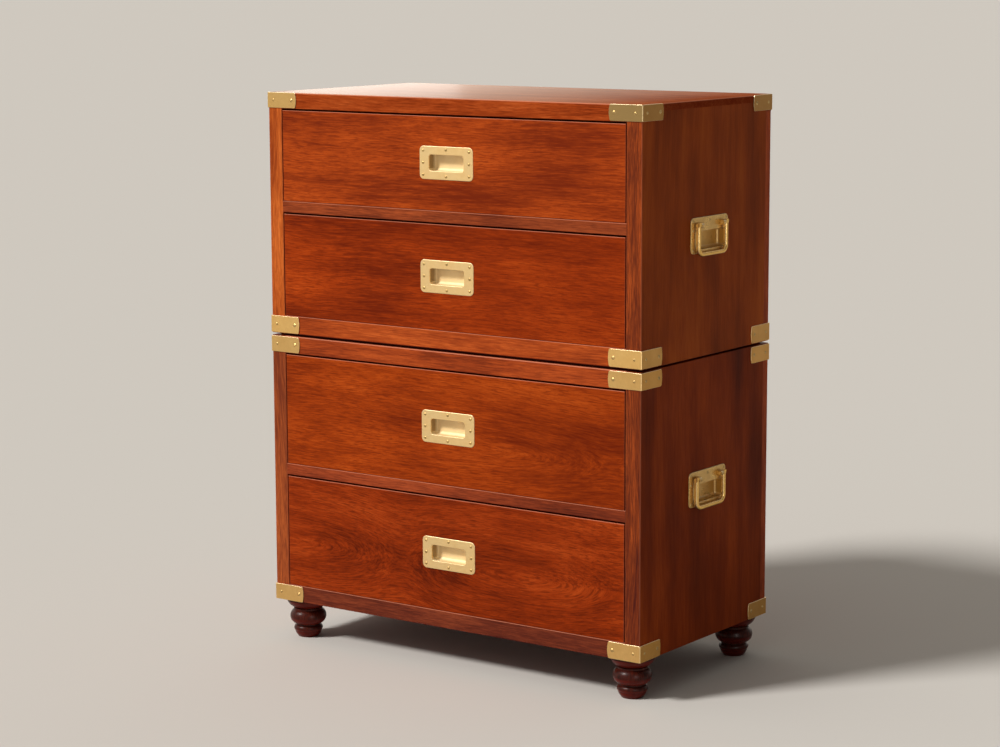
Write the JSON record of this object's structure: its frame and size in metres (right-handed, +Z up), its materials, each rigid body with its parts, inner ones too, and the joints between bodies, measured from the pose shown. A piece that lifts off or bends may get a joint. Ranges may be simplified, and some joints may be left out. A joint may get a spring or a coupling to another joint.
{
  "type": "campaign chest",
  "caption": "Two-part campaign chest of drawers: stacking cases on turned feet, dovetailed drawers with flush brass pulls, brass corner straps and swinging side handles.",
  "frame": {"origin": "on the floor, under the middle of the chest's plan", "axes": "+Z up, the drawers open towards -Y, +X is the right-hand side of someone facing the drawers"},
  "size_m": [0.7834, 0.4054, 0.962],
  "materials": {
    "case_mahogany": "satin polished mahogany",
    "drawer_mahogany": "satin polished mahogany",
    "drawer_box_wood": "waxed plain wood",
    "turned_mahogany": "dark polished turning",
    "strap_brass": "satin",
    "pull_brass": "satin",
    "screw_brass": "polished"
  },
  "bodies": {
    "lower_case": {"lower_side_left": "case_mahogany", "lower_side_right": "case_mahogany", "lower_bottom_board": "case_mahogany", "lower_top_board": "case_mahogany", "lower_divider_rail": "case_mahogany", "lower_runners_and_stops": "drawer_box_wood", "lower_back_boards": "case_mahogany", "lower_corner_straps": "strap_brass", "lower_brass_screws": "screw_brass", "lower_handle_plate_left": "pull_brass", "lower_handle_plate_right": "pull_brass", "stacking_pegs": "pull_brass", "seam_fillets": "case_mahogany", "foot_front_left": "turned_mahogany", "foot_front_right": "turned_mahogany", "foot_back_left": "turned_mahogany", "foot_back_right": "turned_mahogany"},
    "upper_case": {"upper_side_left": "case_mahogany", "upper_side_right": "case_mahogany", "upper_bottom_board": "case_mahogany", "upper_top_board": "case_mahogany", "upper_divider_rail": "case_mahogany", "upper_runners_and_stops": "drawer_box_wood", "upper_back_boards": "case_mahogany", "upper_corner_straps": "strap_brass", "upper_brass_screws": "screw_brass", "upper_handle_plate_left": "pull_brass", "upper_handle_plate_right": "pull_brass"},
    "drawer_4": {"drawer_4_front": "drawer_mahogany", "drawer_4_side_left": "drawer_box_wood", "drawer_4_side_right": "drawer_box_wood", "drawer_4_back": "drawer_box_wood", "drawer_4_bottom_panel": "drawer_box_wood", "drawer_4_pull": "pull_brass", "drawer_4_pull_screws": "screw_brass"},
    "drawer_3": {"drawer_3_front": "drawer_mahogany", "drawer_3_side_left": "drawer_box_wood", "drawer_3_side_right": "drawer_box_wood", "drawer_3_back": "drawer_box_wood", "drawer_3_bottom_panel": "drawer_box_wood", "drawer_3_pull": "pull_brass", "drawer_3_pull_screws": "screw_brass"},
    "drawer_2": {"drawer_2_front": "drawer_mahogany", "drawer_2_side_left": "drawer_box_wood", "drawer_2_side_right": "drawer_box_wood", "drawer_2_back": "drawer_box_wood", "drawer_2_bottom_panel": "drawer_box_wood", "drawer_2_pull": "pull_brass", "drawer_2_pull_screws": "screw_brass"},
    "drawer_1": {"drawer_1_front": "drawer_mahogany", "drawer_1_side_left": "drawer_box_wood", "drawer_1_side_right": "drawer_box_wood", "drawer_1_back": "drawer_box_wood", "drawer_1_bottom_panel": "drawer_box_wood", "drawer_1_pull": "pull_brass", "drawer_1_pull_screws": "screw_brass"},
    "lower_bail_left_body": {"lower_bail_left": "pull_brass"},
    "lower_bail_right_body": {"lower_bail_right": "pull_brass"},
    "upper_bail_left_body": {"upper_bail_left": "pull_brass"},
    "upper_bail_right_body": {"upper_bail_right": "pull_brass"}
  },
  "joints": [
    {"name": "upper_case_lift", "type": "slide", "parent": "lower_case", "child": "upper_case", "axis": [0, 0, 1], "range_m": [0, 0.1]},
    {"name": "drawer_1_slide", "type": "slide", "parent": "upper_case", "child": "drawer_1", "axis": [0, -1, 0], "range_m": [0, 0.29]},
    {"name": "drawer_2_slide", "type": "slide", "parent": "upper_case", "child": "drawer_2", "axis": [0, -1, 0], "range_m": [0, 0.29]},
    {"name": "drawer_3_slide", "type": "slide", "parent": "lower_case", "child": "drawer_3", "axis": [0, -1, 0], "range_m": [0, 0.29]},
    {"name": "drawer_4_slide", "type": "slide", "parent": "lower_case", "child": "drawer_4", "axis": [0, -1, 0], "range_m": [0, 0.29]},
    {"name": "lower_bail_left_hinge", "type": "hinge", "parent": "lower_case", "child": "lower_bail_left_body", "pos_m": [-0.3875, 0.002, 0.34355], "axis": [0, 1, 0], "range_deg": [0, 98]},
    {"name": "lower_bail_right_hinge", "type": "hinge", "parent": "lower_case", "child": "lower_bail_right_body", "pos_m": [0.3875, 0.002, 0.34355], "axis": [0, -1, 0], "range_deg": [0, 98]},
    {"name": "upper_bail_left_hinge", "type": "hinge", "parent": "upper_case", "child": "upper_bail_left_body", "pos_m": [-0.3875, 0.002, 0.76095], "axis": [0, 1, 0], "range_deg": [0, 98]},
    {"name": "upper_bail_right_hinge", "type": "hinge", "parent": "upper_case", "child": "upper_bail_right_body", "pos_m": [0.3875, 0.002, 0.76095], "axis": [0, -1, 0], "range_deg": [0, 98]}
  ]
}
